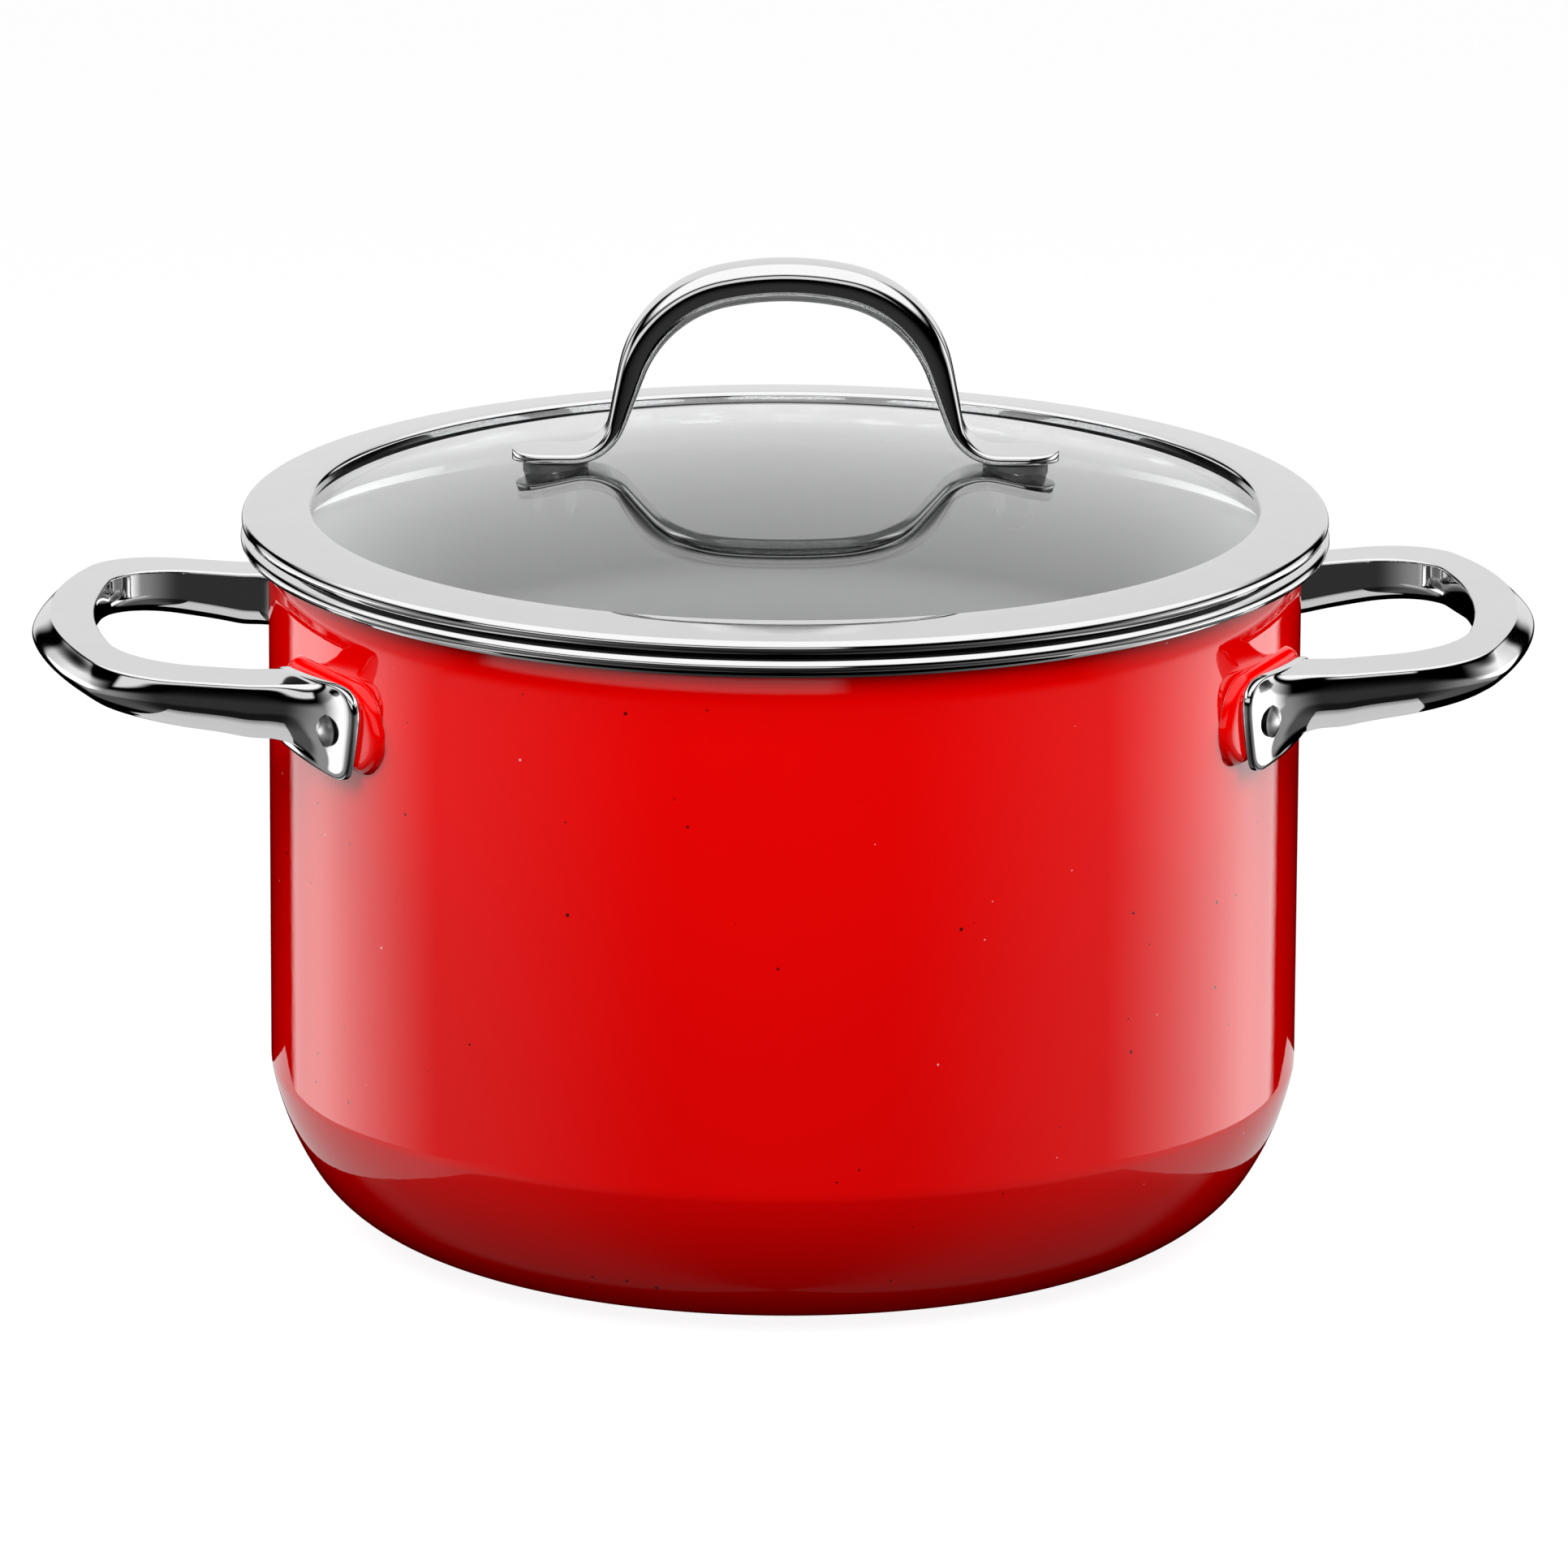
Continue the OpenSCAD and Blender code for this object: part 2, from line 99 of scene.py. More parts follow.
# %% Helpers for node trees
def wire(tree, kind, inputs=None, **settings):
    """Adds a node. Its inputs are values, or sockets to link from."""
    node = tree.nodes.new(kind)
    for key, value in settings.items():
        setattr(node, key, value)
    for key, value in (inputs or {}).items():
        if isinstance(value, bpy.types.NodeSocket):
            tree.links.new(value, node.inputs[key])
        else:
            node.inputs[key].default_value = value
    return node


def calc(tree, operation, a, b=0.0):
    """One arithmetic step."""
    return wire(tree, "ShaderNodeMath", {0: a, 1: b}, operation=operation).outputs[0]


def ramp(tree, value, low, high, out_low=0.0, out_high=1.0):
    """Goes smoothly from out_low to out_high as value goes from low to high."""
    return wire(tree, "ShaderNodeMapRange",
                {"Value": value, "From Min": low, "From Max": high, "To Min": out_low, "To Max": out_high},
                interpolation_type="SMOOTHSTEP").outputs["Result"]


# %% Measure directions on the world
world = bpy.data.worlds.new("studio")
world.use_nodes = True
sky = world.node_tree
sky.nodes.clear()
towards = wire(sky, "ShaderNodeTexCoord").outputs["Generated"]
unit = wire(sky, "ShaderNodeVectorMath", {0: towards}, operation="NORMALIZE").outputs[0]
parts = wire(sky, "ShaderNodeSeparateXYZ", {0: unit}).outputs
rise = calc(sky, "ARCSINE", parts[2])
bearing = calc(sky, "ARCTAN2", parts[0], calc(sky, "MULTIPLY", parts[1], -1.0))
turned_away = calc(sky, "ABSOLUTE", calc(sky, "ADD", bearing, camera_left))
is_left = ramp(sky, bearing, deg(5), deg(-5))
print("front is bearing 0, the ceiling is rise 90")

# %% Combine painted lights
def dimmed(light, *steps):
    """Multiplies a light by every step in turn."""
    for step in steps:
        light = calc(sky, "MULTIPLY", light, step)
    return light


def brightest(light, *others):
    """Takes the brightest of some lights in each direction."""
    for other in others:
        light = calc(sky, "MAXIMUM", light, other)
    return light


# %% Paint the strip lights at the sides
strip_full = deg(126)
strip_left = ramp(sky, turned_away, deg(71), strip_full, 0.0, 2.4)
strip_right = ramp(sky, turned_away, deg(64), strip_full, 0.0, 2.75)
strip = calc(sky, "ADD", dimmed(strip_left, is_left),
             dimmed(strip_right, calc(sky, "SUBTRACT", 1.0, is_left)))
fading_back = ramp(sky, turned_away, deg(124), deg(141), 1.0, 0.7)
back_end = ramp(sky, turned_away, deg(146), deg(141))
foot_end = ramp(sky, rise, deg(-22.5), deg(-19))
fading_up = ramp(sky, rise, deg(-9), deg(-4), 1.0, 0.45)
top_end = ramp(sky, rise, deg(16), deg(9))
strip = dimmed(strip, fading_back, back_end, foot_end, fading_up, top_end)

# %% Paint the ceiling and the backdrop
ceiling = ramp(sky, rise, deg(25), deg(40), 0.0, 1.25)
backdrop = dimmed(ramp(sky, turned_away, deg(153), deg(160)), ramp(sky, rise, deg(-11), deg(-6), 0.0, 0.85))

# %% Paint the box in front
box_left_end = ramp(sky, bearing, deg(-75), deg(-68))
box_right_end = ramp(sky, bearing, deg(12), deg(5))
box_foot = ramp(sky, rise, deg(2), deg(7), 0.0, 0.9)
box_top = ramp(sky, rise, deg(22), deg(17))
front_box = dimmed(box_left_end, box_right_end, box_foot, box_top)

# %% Paint the table
table = dimmed(ramp(sky, turned_away, deg(20), deg(85), 0.035, 0.32),
               ramp(sky, rise, deg(-3), deg(-14)),
               ramp(sky, rise, deg(-38), deg(-28), 0.3, 1.0),
               ramp(sky, turned_away, deg(140), deg(124)))
mirrored = brightest(brightest(ceiling, strip), brightest(backdrop, table), front_box)

# %% Give every kind of ray its light
ambient = ramp(sky, rise, deg(-40), deg(60), 0.12, 0.5)
ray = wire(sky, "ShaderNodeLightPath").outputs
light = wire(sky, "ShaderNodeMix", {"Factor": ray["Is Diffuse Ray"], 2: mirrored, 3: ambient}).outputs[0]
light = wire(sky, "ShaderNodeMix", {"Factor": ray["Is Camera Ray"], 2: light, 3: 1.0}).outputs[0]
glow = wire(sky, "ShaderNodeBackground", {"Color": (1, 1, 1, 1), "Strength": light})
wire(sky, "ShaderNodeOutputWorld", {"Surface": glow.outputs[0]})
bpy.context.scene.world = world

settings = bpy.context.scene.view_settings
settings.view_transform = "Standard"
settings.look = "None"
settings.exposure = 0.0
print("studio nodes:", len(sky.nodes))

# %% Hang soft boxes round the pot
def soft_box(name, place, aim, size, power):
    """A square area light at place, turned towards aim."""
    lamp = bpy.data.lights.new(name, "AREA")
    lamp.size = size
    lamp.energy = power
    box = bpy.data.objects.new(name, lamp)
    bpy.context.scene.collection.objects.link(box)
    box.location = place
    box.rotation_euler = (Vector(aim) - Vector(place)).to_track_quat("-Z", "Y").to_euler()
    box.visible_glossy = False


box_away, box_up, box_size, box_power = 0.46, 0.42, 0.26, 1.15
mid_wall = (0, 0, 0.11)
for side in (-100, -50, 0, 50, 100):
    across = deg(side) - camera_left
    box_place = (box_away * math.sin(across), -box_away * math.cos(across), box_up)
    soft_box(f"soft_box_{side}", box_place, mid_wall, box_size, box_power)

# %% [markdown]
# ## The floor
# A wide table of backlit white glass, so shadows on it stay faint. It is left
# out of reflections, where the painted studio takes its place. A small glowing
# card below each loop lights the lower side of the bars.

# %% Lay the floor
def start_fresh():
    """Leaves edit mode and deselects everything."""
    if bpy.context.object and bpy.context.object.mode != "OBJECT":
        bpy.ops.object.mode_set(mode="OBJECT")
    bpy.ops.object.select_all(action="DESELECT")


floor_drop = 0.00005
start_fresh()
bpy.ops.mesh.primitive_plane_add(size=30, location=(0, 0, -floor_drop))
floor = bpy.context.object
floor.name = "floor"
bpy.ops.object.transform_apply(location=True)
pale = bpy.data.materials.new("floor_white")
pale.use_nodes = True
paint = pale.node_tree.nodes["Principled BSDF"]
paint.inputs["Base Color"].default_value = (0.16, 0.16, 0.16, 1)
paint.inputs["Emission Color"].default_value = (1, 1, 1, 1)
paint.inputs["Emission Strength"].default_value = 0.9
paint.inputs["Roughness"].default_value = 0.9
paint.inputs["Specular IOR Level"].default_value = 0.0
floor.data.materials.append(pale)
floor.visible_glossy = False
floor.visible_diffuse = False
floor.visible_transmission = False

# %% Put a reflector card on the table below each loop
card_x, card_y, card_z = 0.1335, -0.01, 0.001
card_size = (0.051, 0.22, 1)


def card(name, side):
    """A glowing card that only mirror rays see, dimmer at its front end."""
    start_fresh()
    bpy.ops.mesh.primitive_plane_add(size=1, location=(side * card_x, card_y, card_z))
    sheet = bpy.context.object
    sheet.name = name
    sheet.scale = card_size
    glowing = bpy.data.materials.new(name)
    glowing.use_nodes = True
    tree = glowing.node_tree
    tree.nodes.clear()
    along = wire(tree, "ShaderNodeTexCoord").outputs["Object"]
    along = wire(tree, "ShaderNodeSeparateXYZ", {0: along}).outputs[1]
    strength = ramp(tree, along, -0.5, -0.2, 0.3, 0.72)
    lit = wire(tree, "ShaderNodeEmission", {"Color": (1, 1, 1, 1), "Strength": strength})
    wire(tree, "ShaderNodeOutputMaterial", {"Surface": lit.outputs[0]})
    sheet.data.materials.append(glowing)
    sheet.visible_camera = sheet.visible_diffuse = False
    sheet.visible_shadow = sheet.visible_transmission = False


card("card_right", 1)
card("card_left", -1)

# %% [markdown]
# ## Polished steel
# The rims and handles are polished stainless steel. It is almost a mirror: what makes it real is a faint
# haze that changes from place to place, and a surface that is never quite flat, so straight reflections run
# a little uneven. The rivets are satin. The studs, washers and nuts under the glass are steel painted
# almost black as painted shade, so none of them shows through it.

# %% Start a finish
def finish(name):
    """A new material: the material, its tree, its shader and its Object coordinates."""
    material = bpy.data.materials.new(name)
    material.use_nodes = True
    tree = material.node_tree
    shader = tree.nodes["Principled BSDF"]
    place = wire(tree, "ShaderNodeTexCoord").outputs["Object"]
    return material, tree, shader, place


def noise(tree, place, scale, detail):
    """A cloudy pattern with about scale clouds in a metre."""
    return wire(tree, "ShaderNodeTexNoise",
                {"Vector": place, "Scale": scale, "Detail": detail, "Roughness": 0.5}).outputs["Fac"]


def blend(tree, factor, first, second):
    """A colour between two. Each is a red, green and blue, or a socket."""
    first, second = [c if isinstance(c, bpy.types.NodeSocket) else (*c, 1) for c in (first, second)]
    return wire(tree, "ShaderNodeMix", {"Factor": factor, 6: first, 7: second}, data_type="RGBA").outputs[2]


def deeper(tint, share):
    """A tint made darker by a share."""
    return tuple(c * share for c in tint)


def bump(tree, height, depth, below=None):
    """A normal for heights of 0 to 1 that stand for a depth in metres, over another bump."""
    inputs = {"Height": height, "Strength": 1.0, "Distance": depth}
    if below:
        inputs["Normal"] = below
    return wire(tree, "ShaderNodeBump", inputs).outputs[0]


def steel(name, tint, haze_low, haze_high, wave, grain):
    """Polished steel: haze is its roughness, wave and grain are heights in metres."""
    material, tree, shader, place = finish(name)
    cloud = noise(tree, place, 90, 4)
    tree.links.new(blend(tree, cloud, tint, deeper(tint, 0.94)), shader.inputs["Base Color"])
    shader.inputs["Metallic"].default_value = 1.0
    tree.links.new(ramp(tree, cloud, 0.3, 0.7, haze_low, haze_high), shader.inputs["Roughness"])
    slow = bump(tree, noise(tree, place, 60, 1), wave)
    fine = bump(tree, noise(tree, place, 2600, 2), grain, slow)
    tree.links.new(fine, shader.inputs["Normal"])
    return material


bright_steel = steel("bright_steel", (0.78, 0.78, 0.785), 0.035, 0.07, 0.000012, 0.0000002)
satin_steel = steel("satin_steel", (0.60, 0.60, 0.61), 0.22, 0.32, 0.00002, 0.000003)
# near black: painted shade on the steel fastenings, so they stay hidden below the glass
painted_shade_steel = steel("painted_shade_steel", (0.02, 0.02, 0.021), 0.30, 0.42, 0.00002, 0.000003)
print("steel:", bright_steel.name, satin_steel.name, painted_shade_steel.name)

# %% [markdown]
# ## Enamel
# Vitreous enamel is glass fused to steel: deep colour below a clear, glossy
# skin that is slightly uneven, like orange peel. Tiny dark and pale specks
# are caught in it. They come from a cell pattern: a speck shows where the
# centre of a cell happens to lie in the surface.

# %% Make the enamels
def specks(tree, place, per_metre, size):
    """1 inside small specks, 0 elsewhere. Size is in cells."""
    cells = wire(tree, "ShaderNodeTexVoronoi", {"Vector": place, "Scale": per_metre})
    chance = wire(tree, "ShaderNodeSeparateColor", {0: cells.outputs["Color"]}).outputs[0]
    limit = calc(tree, "MULTIPLY", chance, size)
    return calc(tree, "LESS_THAN", cells.outputs["Distance"], limit)


def enamel(name, tint, dark_speck, pale_speck):
    """Glossy enamel in one tint, with two kinds of speck."""
    material, tree, shader, place = finish(name)
    cloud = noise(tree, place, 25, 3)
    ground = blend(tree, cloud, tint, deeper(tint, 0.93))
    dark = specks(tree, place, 170, 0.075)
    moved = wire(tree, "ShaderNodeMapping", {"Vector": place, "Location": (0.31, 0.17, 0.05)}).outputs[0]
    pale_spots = specks(tree, moved, 110, 0.03)
    spotted = blend(tree, dark, ground, dark_speck)
    spotted = blend(tree, pale_spots, spotted, pale_speck)
    tree.links.new(spotted, shader.inputs["Base Color"])
    tree.links.new(ramp(tree, cloud, 0.3, 0.7, 0.16, 0.24), shader.inputs["Roughness"])
    shader.inputs["Specular IOR Level"].default_value = 0.0
    shader.inputs["Coat Weight"].default_value = 1.0
    shader.inputs["Coat Roughness"].default_value = 0.03
    shader.inputs["Coat IOR"].default_value = 1.5
    peel = bump(tree, noise(tree, place, 420, 2), 0.00001)
    slow = bump(tree, noise(tree, place, 45, 1), 0.00006, peel)
    tree.links.new(slow, shader.inputs["Normal"])
    tree.links.new(slow, shader.inputs["Coat Normal"])
    return material


red_enamel = enamel("red_enamel", (0.84, 0.0, 0.0), (0.10, 0.0, 0.0), (0.80, 0.45, 0.42))
inner_enamel = enamel("inner_enamel", (0.018, 0.018, 0.020), (0.004, 0.004, 0.004), (0.10, 0.10, 0.10))
print("enamel:", red_enamel.name, inner_enamel.name)

# %% [markdown]
# ## Glass, silicone and the dark spacers
# Tempered glass is clear with a light grey body. The grey is darker than plain glass: it is partly the
# glass's own tint and partly painted shade that keeps the inside of the pot dim through it. A second clear
# coat makes it reflect more. The silicone is matt with a fine tooth. The spacers are satin and dark.

# %% Make the other finishes
def clear_glass(name, tint):
    """Clear glass with a very slow waviness and a light haze of dust."""
    material, tree, shader, place = finish(name)
    shader.inputs["Base Color"].default_value = (*tint, 1)
    shader.inputs["Transmission Weight"].default_value = 1.0
    shader.inputs["Coat Weight"].default_value = 1.0
    shader.inputs["Coat Roughness"].default_value = 0.0
    shader.inputs["Coat IOR"].default_value = 1.5
    shader.inputs["IOR"].default_value = 1.52
    dust = ramp(tree, noise(tree, place, 120, 3), 0.35, 0.75, 0.0, 0.006)
    tree.links.new(dust, shader.inputs["Roughness"])
    slow = bump(tree, noise(tree, place, 22, 1), 0.00001)
    tree.links.new(slow, shader.inputs["Normal"])
    return material


def soft_matt(name, tint, roughness, scale, depth):
    """A dark matt finish with a fine tooth."""
    material, tree, shader, place = finish(name)
    cloud = noise(tree, place, scale, 3)
    tree.links.new(blend(tree, cloud, tint, deeper(tint, 0.7)), shader.inputs["Base Color"])
    tree.links.new(ramp(tree, cloud, 0.3, 0.7, roughness, roughness + 0.1), shader.inputs["Roughness"])
    tree.links.new(bump(tree, cloud, depth), shader.inputs["Normal"])
    return material


# grey tint: partly the glass's own body, partly painted shade that dims what shows through it
lid_clear = clear_glass("lid_glass_clear", (0.80, 0.82, 0.82))
silicone = soft_matt("silicone_black", (0.045, 0.045, 0.05), 0.55, 900, 0.000004)
spacer_grey = soft_matt("spacer_grey", (0.06, 0.06, 0.062), 0.38, 1400, 0.000003)
print("other finishes:", lid_clear.name, silicone.name, spacer_grey.name)

# %% [markdown]
# ## How round pieces are made
# The pot, its rim and the lid's ring are all turned: a circle is extruded
# ring by ring, and each new ring is moved up and scaled to the next point of
# the profile. This is the same as spinning a profile, but every step can be
# seen.

# %% A turned piece
AROUND = 256
MERGE = 0.000001


def arc(cx, cz, r, start, end, count):
    """Points of an arc in the profile, angles in degrees."""
    return [(cx + r * math.cos(deg(start + (end - start) * i / count)),
             cz + r * math.sin(deg(start + (end - start) * i / count)))
            for i in range(count + 1)]


def tidy_piece(name, angle):
    """Merges doubles, turns the faces outwards and smooths all but sharp edges."""
    bpy.ops.mesh.select_all(action="SELECT")
    bpy.ops.mesh.remove_doubles(threshold=MERGE)
    bpy.ops.mesh.normals_make_consistent(inside=False)
    bpy.ops.object.mode_set(mode="OBJECT")
    piece = bpy.context.object
    piece.name = name
    piece.data.name = name
    bpy.ops.object.transform_apply(location=True, rotation=True, scale=True)
    bpy.ops.object.shade_smooth_by_angle(angle=deg(angle))
    return piece


def turned(name, profile, closed=True, around=AROUND, angle=35):
    """Turns a profile of (radius, height) points in millimetres round the pot's axis.

    A closed profile goes back to its first point. An open one ends on the axis.
    """
    start_fresh()
    r, z = profile[0]
    bpy.ops.mesh.primitive_circle_add(vertices=around, radius=r * MM, location=(0, 0, z * MM))
    bpy.ops.object.transform_apply(location=True)
    bpy.ops.object.mode_set(mode="EDIT")
    bpy.ops.mesh.select_all(action="SELECT")
    if not closed:
        bpy.ops.mesh.extrude_edges_move()
        bpy.ops.mesh.merge(type="CENTER")
        bpy.ops.object.mode_set(mode="OBJECT")
        # select the circle again, and its edges too
        for v in bpy.context.object.data.vertices:
            v.select = v.co.xy.length > 0.5 * r * MM
        bpy.ops.object.mode_set(mode="EDIT")
        bpy.ops.mesh.select_mode(type="VERT")
        bpy.ops.mesh.select_mode(type="EDGE")
        bpy.ops.mesh.select_mode(type="VERT")
    for next_r, next_z in profile[1:] + (profile[:1] if closed else []):
        bpy.ops.mesh.extrude_edges_move(TRANSFORM_OT_translate={"value": (0, 0, (next_z - z) * MM)})
        bpy.ops.transform.resize(value=(next_r / r, next_r / r, 1), center_override=(0, 0, next_z * MM))
        r, z = next_r, next_z
    if not closed:
        bpy.ops.mesh.extrude_edges_move()
        bpy.ops.mesh.merge(type="CENTER")
    return tidy_piece(name, angle)


def show(piece, body, node, slot, *materials):
    """Gives a finished piece its body and its materials, and hides the CAD node it stands for. The slot is
    not used.
    """
    piece.data.materials.clear()
    for material in materials:
        piece.data.materials.append(material)
    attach(piece, body)
    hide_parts(node)
    print(piece.name, "faces:", len(piece.data.polygons))


# %% [markdown]
# ## The pot
# A drawn steel body with a straight wall. Below a soft crease the belly turns
# in, first gently, then round a tighter corner to the flat base. The inside
# follows the outside one wall thickness further in, and is dark. Mirror rays
# pass through the wall, the pads, the rim and the lid's ring, so the handles and
# the glass don't reflect them.

# %% Turn the pot
body_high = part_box("pot_body")[1]
wall_r = body_high.x / MM
wall_top = body_high.z / MM
wall_t = 2.2
corner_r, belly_r = 26, 56
crease, join = 10.5, 32.5
flat_r = wall_r - belly_r * (math.cos(deg(crease)) - math.cos(deg(join))) - corner_r * math.cos(deg(join))
belly_x = wall_r - belly_r * math.cos(deg(crease))
belly_z = corner_r + (belly_r - corner_r) * math.sin(deg(join))
crease_z = belly_z - belly_r * math.sin(deg(crease))


blend_angle, blend_down, blend_up = 1.2, 0.2, 1.6
wall_rings = (45, 65, 85, 105, 120, 130)


def pot_side(inset):
    """Profile of the outside, or of the inside at an inset, from the base up."""
    points = [(8, inset), (flat_r * 0.5, inset), (flat_r * 0.9, inset)]
    points += arc(flat_r, corner_r, corner_r - inset, -90, -join, 18)
    points += arc(belly_x, belly_z, belly_r - inset, -join, -crease - 1.5, 12)[1:]
    soft = belly_r - inset
    start_lean = deg(crease + blend_angle)
    start = (belly_x + soft * math.cos(start_lean), belly_z - soft * math.sin(start_lean))
    mid = (wall_r - inset, crease_z - blend_down)
    end = (wall_r - inset, crease_z + blend_up)
    for i in range(9):
        t = i / 8
        points.append(tuple((1 - t) ** 2 * a + 2 * t * (1 - t) * b + t * t * c
                            for a, b, c in zip(start, mid, end)))
    points += [(wall_r - inset, z) for z in wall_rings]
    return points


bevel = 0.4
outside = pot_side(0) + [(wall_r, wall_top - bevel), (wall_r - bevel, wall_top)]
inside = [(wall_r - wall_t + bevel, wall_top), (wall_r - wall_t, wall_top - bevel)] + pot_side(wall_t)[::-1]
pot = turned("pot_wall", outside + inside, closed=False, angle=50)
print("crease height in mm:", round(crease_z, 1))

# %% Paint the inside dark
show(pot, "pot", "pot_body", "red_enamel", red_enamel, inner_enamel)
inside_r = (wall_r - 0.6 * wall_t) * MM
for face in pot.data.polygons:
    middle = face.center
    inner = face.normal.xy.dot(middle.xy) < 0 or (face.normal.z > 0.5 and middle.z < 0.1)
    face.material_index = 1 if inner and middle.xy.length < inside_r else 0
pot.visible_glossy = False
print("dark faces:", sum(face.material_index for face in pot.data.polygons))

# %% [markdown]
# ## The rim of the pot
# A folded band of stainless steel covers the raw edge of the wall. Its outer
# bead shows as a thin bright line below the lid.

# %% Turn the rim
rim_low, rim_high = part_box("pot_rim")
rim_r, rim_top = rim_high.x / MM, rim_high.z / MM
bead = 1.25
bore_r = wall_r - wall_t
skin = 0.8
rim_profile = [(bore_r - skin, rim_low.z / MM), (bore_r - skin, rim_top - 1.2)]
rim_profile += arc(bore_r - skin + 1.0, rim_top - 1.0, 1.0, 180, 90, 6)
rim_profile += [(wall_r + 1, rim_top)]
rim_profile += arc(rim_r - bead, rim_top - bead, bead, 90, -90, 16)
rim_profile += [(wall_r + out, wall_top + up) for out, up in (
    (2.2, -0.2), (1.2, -0.9), (0.5, -1.6), (0.5, -2), (0.02, -2), (0.02, 0.02))]
rim_profile += [(bore_r, wall_top + 0.02), (bore_r, rim_low.z / MM)]
rim = turned("pot_rim_band", rim_profile)
rim.visible_glossy = False
show(rim, "pot", "pot_rim", "polished_steel", bright_steel)

# %% [markdown]
# ## Lofted pieces
# The handles change their section all the way along, so no single extrusion
# gives them. A grid is rolled round instead: each row of the grid becomes one
# section, the long seam is merged, the ends are filled, and a Subdivision
# Surface makes the skin smooth. Tight pairs of points keep the edges crisp.

# %% A lofted piece
def lofted(name, rings, level=2):
    """Rolls a grid into a skin through rings of points, in millimetres."""
    start_fresh()
    around, along = len(rings[0]), len(rings)
    bpy.ops.mesh.primitive_grid_add(x_subdivisions=around, y_subdivisions=along - 1, size=0.1)
    skin_mesh = bpy.context.object.data
    for k, ring in enumerate(rings):
        for i in range(around + 1):
            skin_mesh.vertices[k * (around + 1) + i].co = Vector(ring[i % around]) * MM
    bpy.ops.object.mode_set(mode="EDIT")
    bpy.ops.mesh.select_all(action="SELECT")
    bpy.ops.mesh.remove_doubles(threshold=MERGE)
    bpy.ops.mesh.select_all(action="DESELECT")
    bpy.ops.mesh.select_non_manifold()
    bpy.ops.mesh.fill_holes(sides=0)
    piece = tidy_piece(name, 60)
    rounding = piece.modifiers.new("rounding", "SUBSURF")
    rounding.levels = rounding.render_levels = level
    bpy.ops.object.modifier_apply(modifier=rounding.name)
    bpy.ops.object.shade_smooth()
    return piece


def mix(a, b, t):
    """Blends two numbers or two points."""
    if isinstance(a, (int, float)):
        return a + (b - a) * t
    return tuple(p + (q - p) * t for p, q in zip(a, b))


# %% [markdown]
# ## The side handles
# Each one is a loop of forged steel: a flat top, a bulging outer side, and
# two feet that spread like trumpets onto the wall.

# %% Values of a loop
loop_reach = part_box("handle_right")[1].x / MM
loop_z, loop_tilt, tilt_from = 122.5, 0.075, 103
bar_h, bulge_w, tuck = 10.3, 4, 4.4
top_fall, under_rise = 0.4, 2.2
root_gain, root_end, root_run, root_power = 3.6, 132, 32, 1.7
straight_bulge = 0.4
crisp_end = loop_reach - 0.87 * bulge_w
inner_end = crisp_end - 9
outer_curve = (crisp_end, 95, 20, 50.4)
inner_curve = (inner_end, 100, 18, 38.2)
flare_u = 108
bracket_face = wall_r + 2.5
foot_back, foot_face = bracket_face + 0.1, bracket_face + 1.9
rivet_z, rivet_bearing, bracket_bearing = loop_z - 7.9, 30.6, 27


# %% Plan curves and sections of the bar
def curve_point(curve, a):
    """Point of a plan curve where its outward direction has the angle a."""
    end, big, small, half = curve
    turn_at = math.degrees(math.asin((half - small) / (big - small)))
    if a <= turn_at:
        return (end - big + big * math.cos(deg(a)), big * math.sin(deg(a)))
    hub_x = end - big + (big - small) * math.cos(deg(turn_at))
    return (hub_x + small * math.cos(deg(a)), half - small + small * math.sin(deg(a)))


def bar_section(w, bulge, h):
    """Section of the bar: across from the inner side, and up from the top face."""
    top_face = [(mix(0.35, w - 0.25, s), -top_fall * s) for s in (0, 0.06, 0.35, 0.65, 0.94, 1)]
    side = [(w + bulge * math.sin(deg(150 * s)) - tuck * s ** 4, mix(-0.4 - top_fall, 0.8 - h, s))
            for s in [i / 9 for i in range(10)]]
    under = [(mix(w - tuck - 0.5, 1.9, i / 5), under_rise * i / 5 - h) for i in range(6)]
    inner = [(0.5 if i == 0 else 0, mix(under_rise - h + 1.1, -0.35, s))
             for i, s in enumerate((0, 0.2, 0.45, 0.75, 0.95, 1))]
    return top_face + side + under + inner


def bar_depth(u):
    """Height of the bar's outer side, which grows towards the foot."""
    return bar_h + root_gain * (max(0, root_end - u) / root_run) ** root_power


def bar_ring(inner, outer, bulge, h):
    """One ring of the bar between two plan points."""
    w = math.dist(inner, outer)
    across = ((outer[0] - inner[0]) / w, (outer[1] - inner[1]) / w)
    ring = []
    for s, up in bar_section(w, bulge, h):
        x, y = inner[0] + across[0] * s, inner[1] + across[1] * s
        ring.append((x, y, loop_z + loop_tilt * (x - tilt_from) + up))
    return ring


def side_ring(u, side):
    """Ring of the straight side at the distance u from the axis."""
    return bar_ring((u, side * inner_curve[3]), (u, side * outer_curve[3]), straight_bulge, bar_depth(u))


# %% Outline of a foot
foot_corners = [(34.4, -0.2), (67.6, 2), (63.4, -17.9), (34.4, -15.6)]
foot_cut = (1.4, 8.5, 3.2)


def near(p, q, s):
    """Point at the distance s from p on the way to q."""
    return mix(p, q, s / math.dist(p, q))


def round_off(a, b, c, s, n):
    """Curve of n points round the corner b."""
    p, q = near(b, a, s), near(b, c, s)
    return [mix(mix(p, b, i / (n - 1)), mix(b, q, i / (n - 1)), i / (n - 1)) for i in range(n)]


def foot_outline():
    """28 points round a foot: distance round the pot, and height from loop_z."""
    a, b, c, d = foot_corners
    upper = [mix(near(a, b, foot_cut[0]), near(b, a, foot_cut[1]), i / 7) for i in range(1, 7)]
    lower = [mix(near(c, d, foot_cut[2]), near(d, c, foot_cut[0]), i / 7) for i in range(1, 7)]
    return (upper + round_off(a, b, c, foot_cut[1], 6) + round_off(b, c, d, foot_cut[2], 4)
            + lower + round_off(c, d, a, foot_cut[0], 3) + round_off(d, a, b, foot_cut[0], 3))


